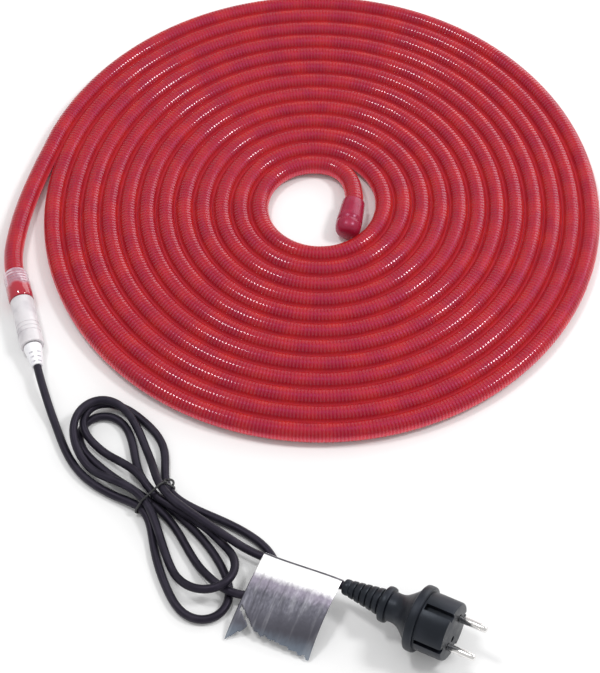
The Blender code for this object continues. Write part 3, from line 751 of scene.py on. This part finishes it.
foil_points, foil_uvs = label_foil()
foil_mesh = bpy.data.meshes.new("foil_flag")
stride = LABEL_ROWS + 1
foil_faces = [(c * stride + r, (c + 1) * stride + r, (c + 1) * stride + r + 1, c * stride + r + 1)
              for c in range(LABEL_COLUMNS) for r in range(LABEL_ROWS) if not torn_off(c, r)]
foil_mesh.from_pydata([tuple(p) for p in foil_points], [], foil_faces)
corner_uv = foil_mesh.uv_layers.new(name="flat").data
for loop in foil_mesh.loops:
    corner_uv[loop.index].uv = foil_uvs[loop.vertex_index]
foil = bpy.data.objects.new("foil_flag", foil_mesh)
bpy.context.scene.collection.objects.link(foil)
pick(foil)
bpy.ops.object.shade_smooth()
thick = foil.modifiers.new("thickness", "SOLIDIFY")
thick.thickness = 0.0003
thick.offset = 0.0
bpy.ops.object.modifier_apply(modifier=thick.name)
print("Label:", len(foil.data.polygons), "faces")

# %% [markdown]
# ## Materials
#
# Every finish is one Principled shader. What several of them share, or what is long, sits in a
# node group that gives out only colours, values and heights. The groups are built with the few
# helpers below, which keep each line of the recipe short.

# %% Helpers for node trees
def new_finish(name, colour, roughness, metallic=0.0):
    """Material with one Principled shader, its tree and that shader."""
    finish = bpy.data.materials.new(name)
    finish.use_nodes = True
    shader = finish.node_tree.nodes["Principled BSDF"]
    shader.inputs["Base Color"].default_value = (*colour, 1.0)
    shader.inputs["Roughness"].default_value = roughness
    shader.inputs["Metallic"].default_value = metallic
    return finish, finish.node_tree, shader


def feed(tree, socket, value):
    """Link a socket to another, or set its plain value."""
    if isinstance(value, bpy.types.NodeSocket):
        tree.links.new(value, socket)
    else:
        socket.default_value = value


def sums(tree, operation, *values):
    """Result of a math node."""
    made = tree.nodes.new("ShaderNodeMath")
    made.operation = operation
    for socket, value in zip(made.inputs, values):
        feed(tree, socket, value)
    return made.outputs[0]


def step_up(tree, value, low, high, bottom=0.0, top=1.0):
    """Smooth step of a value between low and high."""
    made = tree.nodes.new("ShaderNodeMapRange")
    made.interpolation_type = "SMOOTHSTEP"
    for socket, number in zip(made.inputs, (value, low, high, bottom, top)):
        feed(tree, socket, number)
    return made.outputs[0]


def from_mark(tree, value, pitch):
    """0 on every whole pitch of a value, rising evenly to 1 halfway to the next."""
    return sums(tree, "DIVIDE", sums(tree, "PINGPONG", value, pitch / 2), pitch / 2)


def ridge(tree, off_crest):
    """Height of a low round ridge, 1 on its crest."""
    return sums(tree, "SUBTRACT", 1.0, sums(tree, "POWER", off_crest, 2.0))


def mix(tree, share, first, second):
    """Colour between two, at a share of the way."""
    made = tree.nodes.new("ShaderNodeMix")
    made.data_type = "RGBA"
    for name, value in (("Factor_Float", share), ("A_Color", first), ("B_Color", second)):
        socket = next(one for one in made.inputs if one.identifier == name)
        feed(tree, socket, (*value, 1.0) if isinstance(value, tuple) else value)
    return next(one for one in made.outputs if one.identifier == "Result_Color")


def noise(tree, vector, scale, detail=3.0, stretch=None):
    """Value of a noise, read at a place that may first be stretched along its axes."""
    if stretch:
        mapping = tree.nodes.new("ShaderNodeMapping")
        mapping.inputs["Scale"].default_value = stretch
        tree.links.new(vector, mapping.inputs["Vector"])
        vector = mapping.outputs[0]
    made = tree.nodes.new("ShaderNodeTexNoise")
    made.inputs["Scale"].default_value = scale
    made.inputs["Detail"].default_value = detail
    tree.links.new(vector, made.inputs["Vector"])
    return made.outputs["Fac"]


def object_place(tree):
    """Place on the object, in metres."""
    return tree.nodes.new("ShaderNodeTexCoord").outputs["Object"]


def own_map(tree):
    """Place on the piece's own UV map."""
    return tree.nodes.new("ShaderNodeTexCoord").outputs["UV"]


def new_group(name, sockets_in, sockets_out):
    """Empty node group, its input node and its output node."""
    group = bpy.data.node_groups.new(name, "ShaderNodeTree")
    for title, kind in sockets_in:
        group.interface.new_socket(title, in_out="INPUT", socket_type="NodeSocket" + kind)
    for title, kind in sockets_out:
        group.interface.new_socket(title, in_out="OUTPUT", socket_type="NodeSocket" + kind)
    return group, group.nodes.new("NodeGroupInput"), group.nodes.new("NodeGroupOutput")


def use_group(tree, group, **values):
    """Node that holds a group, with its inputs linked or set."""
    made = tree.nodes.new("ShaderNodeGroup")
    made.node_tree = group
    for title, value in values.items():
        feed(tree, made.inputs[title], value)
    return made


def bump(tree, shader, height, distance):
    """Turn a height from 0 to 1 into the shader's normal, as relief of that depth in metres."""
    made = tree.nodes.new("ShaderNodeBump")
    made.inputs["Distance"].default_value = distance
    made.inputs["Strength"].default_value = 1.0
    tree.links.new(height, made.inputs["Height"])
    tree.links.new(made.outputs["Normal"], shader.inputs["Normal"])


# %% [markdown]
# The rope is red see-through PVC with fine ribs across it, one every 2.45 mm. Each rib is a
# low round ridge, far too many to model on 9.5 m, so it is a height read from the distance along
# the rope. The lamps in the core, one every 27.8 mm, make the red warmer above them. Where two
# turns touch, the sides of the rope carry a painted glow, a dim red emission that stands in for
# light from the white floor coming up through them. Handling has polished the ribs' crests and
# left the grooves dull, so a lamp shows as a row of dots.

# %% Rope's surface
RIB_PITCH = 0.00245
LAMP_PITCH = 0.0278
rope_surface, group_in, group_out = new_group(
    "rope_surface", [("Place", "Vector")],
    [("Color", "Color"), ("Roughness", "Float"), ("Shine", "Float"), ("PaintedGlow", "Color"),
     ("Height", "Float")])
tree = rope_surface
split = tree.nodes.new("ShaderNodeSeparateXYZ")
tree.links.new(group_in.outputs["Place"], split.inputs[0])
along_rope, round_rope = split.outputs["X"], split.outputs["Y"]
from_crest = from_mark(tree, along_rope, RIB_PITCH)
rib = ridge(tree, from_crest)
glow = step_up(tree, from_mark(tree, along_rope, LAMP_PITCH), 0.75, 0.15)
patches = noise(tree, group_in.outputs["Place"], 1.0, 2.0, (34, 1.2, 1))
patchy = sums(tree, "MULTIPLY", step_up(tree, patches, 0.42, 0.62), 0.6)
warm = sums(tree, "MULTIPLY_ADD", glow, 0.35, patchy)
red = mix(tree, warm, (0.325, 0.0070, 0.0100), (0.420, 0.0150, 0.0060))
# Painted sheen: each rib's crest is painted 2% towards a light pink.
red = mix(tree, sums(tree, "MULTIPLY", rib, 0.02), red, (0.60, 0.05, 0.09))
# Painted glow: where turns touch, the sides of the tube give off a dim red emission in place of light
# coming up through the grooves.
beside_top = from_mark(tree, round_rope, 0.5)  # 0 on top and below, 1 at both sides
painted_glow = mix(tree, step_up(tree, beside_top, 0.55, 0.98), (0.0, 0.0, 0.0), (0.68, 0.070, 0.105))
tree.links.new(painted_glow, group_out.inputs["PaintedGlow"])
tree.links.new(red, group_out.inputs["Color"])
scuffs = noise(tree, group_in.outputs["Place"], 1.0, 4.0, (90, 6, 1))
feed(tree, group_out.inputs["Roughness"], step_up(tree, scuffs, 0.30, 0.75, 0.36, 0.50))
tree.links.new(rib, group_out.inputs["Height"])
tree.links.new(step_up(tree, from_crest, 0.62, 0.30, 0.02, 0.85), group_out.inputs["Shine"])

rope_pvc, tree, shader = new_finish("red_rope_pvc", (0.4, 0.01, 0.02), 0.25)
surface = use_group(tree, rope_surface, Place=own_map(tree))
tree.links.new(surface.outputs["Color"], shader.inputs["Base Color"])
tree.links.new(surface.outputs["Roughness"], shader.inputs["Roughness"])
# The painted glow goes into the emission, so the rope's sides are lit though it is no lamp.
tree.links.new(surface.outputs["PaintedGlow"], shader.inputs["Emission Color"])
shader.inputs["Emission Strength"].default_value = 0.40
bump(tree, shader, surface.outputs["Height"], 0.00018)
shader.inputs["Specular IOR Level"].default_value = 0.42
shader.inputs["Specular Tint"].default_value = (0.74, 0.22, 0.80, 1.0)
tree.links.new(surface.outputs["Shine"], shader.inputs["Coat Weight"])
shader.inputs["Coat Roughness"].default_value = 0.11
shader.inputs["Subsurface Weight"].default_value = 0.60
shader.inputs["Subsurface Radius"].default_value = (1.0, 0.12, 0.16)
shader.inputs["Subsurface Scale"].default_value = 0.005

# %% [markdown]
# The other mouldings share one effect: a very fine grain from the mould, a few soft smudges and a
# little dust. It reads the place on the object, so it runs on over edges without a seam.

# %% Moulded surface
moulded, group_in, group_out = new_group(
    "moulded_surface",
    [("Place", "Vector"), ("Clean", "Color"), ("Soiled", "Color"), ("Gloss", "Float")],
    [("Color", "Color"), ("Roughness", "Float"), ("Height", "Float")])
tree = moulded
smudge = step_up(tree, noise(tree, group_in.outputs["Place"], 90.0, 3.0), 0.40, 0.75)
specks = step_up(tree, noise(tree, group_in.outputs["Place"], 900.0, 2.0), 0.68, 0.80)
soil = sums(tree, "MAXIMUM", smudge, sums(tree, "MULTIPLY", specks, 0.8))
tree.links.new(mix(tree, soil, group_in.outputs["Clean"], group_in.outputs["Soiled"]),
               group_out.inputs["Color"])
tree.links.new(sums(tree, "MULTIPLY_ADD", soil, 0.14, group_in.outputs["Gloss"]),
               group_out.inputs["Roughness"])
tree.links.new(noise(tree, group_in.outputs["Place"], 2600.0, 2.0), group_out.inputs["Height"])


def moulded_finish(name, clean, soiled, gloss, grain):
    """Material of a moulding with the shared surface, and its shader. Grain is a height."""
    finish, tree, shader = new_finish(name, clean, gloss)
    surface = use_group(tree, moulded, Place=object_place(tree), Clean=(*clean, 1.0),
                        Soiled=(*soiled, 1.0), Gloss=gloss)
    tree.links.new(surface.outputs["Color"], shader.inputs["Base Color"])
    tree.links.new(surface.outputs["Roughness"], shader.inputs["Roughness"])
    bump(tree, shader, surface.outputs["Height"], grain)
    return finish, shader


cap_pvc, shader = moulded_finish(
    "red_cap_pvc", (0.30, 0.009, 0.036), (0.38, 0.024, 0.062), 0.24, 0.00003)
shader.inputs["Specular Tint"].default_value = (0.95, 0.70, 1.0, 1.0)
shader.inputs["Subsurface Weight"].default_value = 0.3
shader.inputs["Subsurface Radius"].default_value = (1.0, 0.15, 0.30)
shader.inputs["Subsurface Scale"].default_value = 0.004
milky_pvc, shader = moulded_finish(
    "milky_pvc", (0.70, 0.67, 0.69), (0.54, 0.51, 0.54), 0.30, 0.00003)
shader.inputs["Subsurface Weight"].default_value = 0.3
shader.inputs["Subsurface Radius"].default_value = (1.0, 0.9, 0.9)
shader.inputs["Subsurface Scale"].default_value = 0.003
white_pvc, shader = moulded_finish(
    "white_pvc", (0.90, 0.89, 0.92), (0.80, 0.78, 0.82), 0.40, 0.00002)
lead_pvc, shader = moulded_finish(
    "black_lead_pvc", (0.008, 0.007, 0.012), (0.020, 0.018, 0.026), 0.40, 0.00008)
shader.inputs["Specular IOR Level"].default_value = 0.30
shader.inputs["Specular Tint"].default_value = (0.85, 0.75, 1.0, 1.0)
rubber, shader = moulded_finish(
    "black_rubber", (0.004, 0.005, 0.008), (0.011, 0.012, 0.018), 0.35, 0.00005)
shader.inputs["Specular IOR Level"].default_value = 0.40
shader.inputs["Specular Tint"].default_value = (0.80, 0.88, 1.0, 1.0)
wire_coat, shader = moulded_finish(
    "black_wire_coat", (0.020, 0.020, 0.022), (0.040, 0.038, 0.040), 0.25, 0.00002)

# %% [markdown]
# The sleeve is clear PVC. Near its open end it sits loose on the ribs: it looks milky there, and
# the ribs have marked it. On patches of those marks it is painted pale and more opaque: painted
# glints in place of highlights. Further in it is pressed on the rope, and the red fills its wall
# from side to side, as in a glass of coloured water. Its colour and how much it hides are
# therefore read from the place along it.

# %% Clear sleeve
sleeve_pvc, tree, shader = new_finish("clear_sleeve_pvc", (0.78, 0.66, 0.76), 0.08)
scratches = noise(tree, object_place(tree), 240.0, 5.0)
tree.links.new(step_up(tree, scratches, 0.45, 0.80, 0.05, 0.22), shader.inputs["Roughness"])
along_sleeve = tree.nodes.new("ShaderNodeVectorMath")
along_sleeve.operation = "DOT_PRODUCT"
tree.links.new(object_place(tree), along_sleeve.inputs[0])
along_sleeve.inputs[1].default_value = tuple(SLEEVE_WAY)
along_sleeve = sums(tree, "SUBTRACT", along_sleeve.outputs["Value"], SLEEVE_START.dot(SLEEVE_WAY))
pressed = sums(tree, "MULTIPLY_ADD", noise(tree, object_place(tree), 130.0, 2.0), 0.008, along_sleeve)
loose = step_up(tree, pressed, 0.0205, 0.0155)
rib_mark = sums(tree, "MULTIPLY", ridge(tree, from_mark(tree, along_sleeve, RIB_PITCH)), loose)
bump(tree, shader, rib_mark, 0.00032)
# Painted glints: pale, more opaque patches on the rib marks, in place of highlights.
glint_patches = step_up(tree, noise(tree, object_place(tree), 170.0, 1.0), 0.46, 0.58)
painted_glints = sums(tree, "MULTIPLY", step_up(tree, rib_mark, 0.50, 0.95), glint_patches)
hides = step_up(tree, loose, 0.0, 1.0, 0.85, 0.36)
veil = mix(tree, loose, (0.45, 0.006, 0.026), (0.76, 0.60, 0.72))
tree.links.new(mix(tree, painted_glints, veil, (0.98, 0.84, 0.93)), shader.inputs["Base Color"])
tree.links.new(sums(tree, "MULTIPLY_ADD", painted_glints, 0.24, hides), shader.inputs["Alpha"])
shader.inputs["IOR"].default_value = 1.50
shader.inputs["Coat Weight"].default_value = 1.0
shader.inputs["Coat Roughness"].default_value = 0.06

# %% [markdown]
# Foil is bare aluminium on thin film, with long soft creases that run down from the lead and a
# finer crumple over all of it. Its colour carries a painted reflection in bands down the sheet:
# white beside the lead, dark further down and lighter and bluish near its foot, and the crumple
# frays their edges. The creases are painted a little lighter. A thin painted shade line runs
# along the lead, where the foil turns over it.

# %% Foil and nickel
foil_finish, tree, shader = new_finish("silver_foil", (0.70, 0.70, 0.73), 0.3, 1.0)
creases = noise(tree, own_map(tree), 1.0, 3.0, (9, 1.5, 1))
crumple = noise(tree, own_map(tree), 1.0, 4.0, (30, 22, 1))
split = tree.nodes.new("ShaderNodeSeparateXYZ")
tree.links.new(own_map(tree), split.inputs[0])
down = sums(tree, "MULTIPLY_ADD", sums(tree, "SUBTRACT", crumple, 0.5), 0.05, split.outputs["Y"])
# Painted reflection: bands of colour down the sheet, white beside the lead and darker below.
painted_reflection = mix(tree, step_up(tree, down, 0.36, 0.46), (1.0, 1.0, 1.0), (0.26, 0.235, 0.29))
painted_reflection = mix(tree, step_up(tree, down, 0.45, 0.58), painted_reflection, (0.108, 0.106, 0.128))
painted_reflection = mix(tree, step_up(tree, down, 0.82, 0.97), painted_reflection, (0.24, 0.28, 0.34))
# Painted shade: a thin dark line along the fold over the lead.
fold = sums(tree, "MULTIPLY", step_up(tree, split.outputs["Y"], 0.174, 0.182),
            step_up(tree, split.outputs["Y"], 0.220, 0.210))
painted_reflection = mix(tree, fold, painted_reflection, (0.10, 0.10, 0.12))
# The foil is painted a little lighter along the creases.
lighter_on_creases = sums(tree, "MULTIPLY", step_up(tree, creases, 0.50, 0.68), 0.15)
tree.links.new(mix(tree, lighter_on_creases, painted_reflection, (0.80, 0.80, 0.84)), shader.inputs["Base Color"])
tree.links.new(step_up(tree, crumple, 0.30, 0.70, 0.44, 0.54), shader.inputs["Roughness"])
bump(tree, shader, sums(tree, "MULTIPLY_ADD", crumple, 0.25, creases), 0.0005)
nickel, tree, shader = new_finish("nickel", (0.88, 0.87, 0.86), 0.16, 1.0)
turning = noise(tree, object_place(tree), 500.0, 3.0)
tree.links.new(step_up(tree, turning, 0.30, 0.75, 0.10, 0.30), shader.inputs["Roughness"])
tree.links.new(mix(tree, turning, (0.93, 0.92, 0.91), (0.74, 0.72, 0.70)), shader.inputs["Base Color"])


# %% [markdown]
# Each piece wears one finish. Beside each, the table lists the record's material slot that the
# finish stands for.

# %% Hand out the materials
def wear(piece, finish):
    """Give a piece its one material."""
    piece.data.materials.clear()
    piece.data.materials.append(finish)


for piece, finish, slot in (
        (rope, rope_pvc, "rope"), (end_cap, cap_pvc, "end_cap"), (sleeve, sleeve_pvc, "sleeve"),
        (connector, milky_pvc, "connector"), (relief, white_pvc, "relief"), (lead, lead_pvc, "lead"),
        (tie, wire_coat, "tie"), (foil, foil_finish, "foil"), (plug, rubber, "plug"),
        (pin_1, nickel, "pins"), (pin_2, nickel, "pins")):
    wear(piece, finish)

# %% [markdown]
# Each piece rides on the one body and takes the place of its CAD solids.

# %% Finish
for piece, *nodes in (
        (rope, "rope_coil", "rope_tail", "rope_inner_end"), (end_cap, "end_cap"),
        (sleeve, "coupling_sleeve"), (connector, "connector_body"), (relief, "strain_relief"),
        (lead, "lead_from_connector", "lead_hank", "lead_loop", "lead_to_plug"), (tie, "twist_tie"),
        (foil, "foil_label"), (plug, "plug_body"), (pin_1, "plug_pin_1"), (pin_2, "plug_pin_2")):
    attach(piece, "root")
    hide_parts(*nodes)
bpy.context.view_layer.update()
